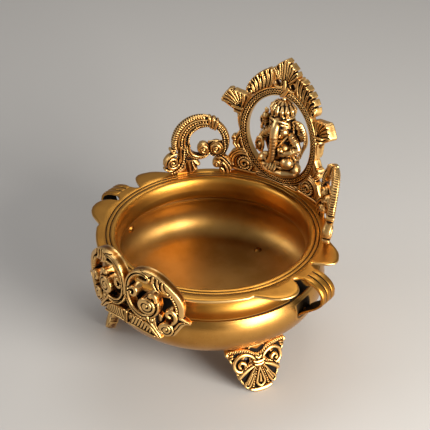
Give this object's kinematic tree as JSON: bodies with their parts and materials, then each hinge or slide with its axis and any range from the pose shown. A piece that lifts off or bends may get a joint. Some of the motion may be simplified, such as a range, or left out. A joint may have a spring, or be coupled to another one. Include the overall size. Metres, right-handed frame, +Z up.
{
  "type": "footed flower bowl",
  "caption": "Footed brass urli bowl with a lobed rim, strap handles, cast scrollwork and a seated elephant-headed figure in an oval frame.",
  "frame": {"origin": "on the floor plane the feet stand on, under the centre of the bowl", "axes": "+Z up, +Y from the bowl towards the figure frame, +X towards the right handle as the figure is faced"},
  "size_m": [0.252, 0.2275, 0.2357],
  "materials": {
    "bowl_brass": "satin polished brass, brighter on the belly and darker inside",
    "rim_brass": "satin antique brass",
    "cast_brass": "antique cast brass with black patina in the recesses",
    "figure_brass": "cast brass, polished high points and dark recesses",
    "fixing_brass": "dull brass"
  },
  "bodies": {
    "root": {"bowl_shell": "bowl_brass", "rim_and_neck": "rim_brass", "handle_left": "rim_brass", "handle_right": "rim_brass", "handle_rivets": "fixing_brass", "foot_back": "cast_brass", "foot_front_right": "cast_brass", "foot_front_left": "cast_brass", "foot_rivets": "fixing_brass", "figure_frame": "cast_brass", "crest_finial": "cast_brass", "crest_leaf_left": "cast_brass", "crest_leaf_right": "cast_brass", "frame_fan_left": "cast_brass", "frame_fan_right": "cast_brass", "frame_volute_left": "cast_brass", "frame_volute_right": "cast_brass", "crest_pins": "fixing_brass", "frame_screws": "fixing_brass", "figure_base": "cast_brass", "seated_figure": "figure_brass", "figure_screw": "fixing_brass", "side_scroll_left": "cast_brass", "side_scroll_right": "cast_brass", "side_scroll_screws": "fixing_brass", "front_scroll_left": "cast_brass", "front_scroll_right": "cast_brass", "front_leaf": "cast_brass", "front_scroll_pins": "fixing_brass"}
  },
  "joints": []
}
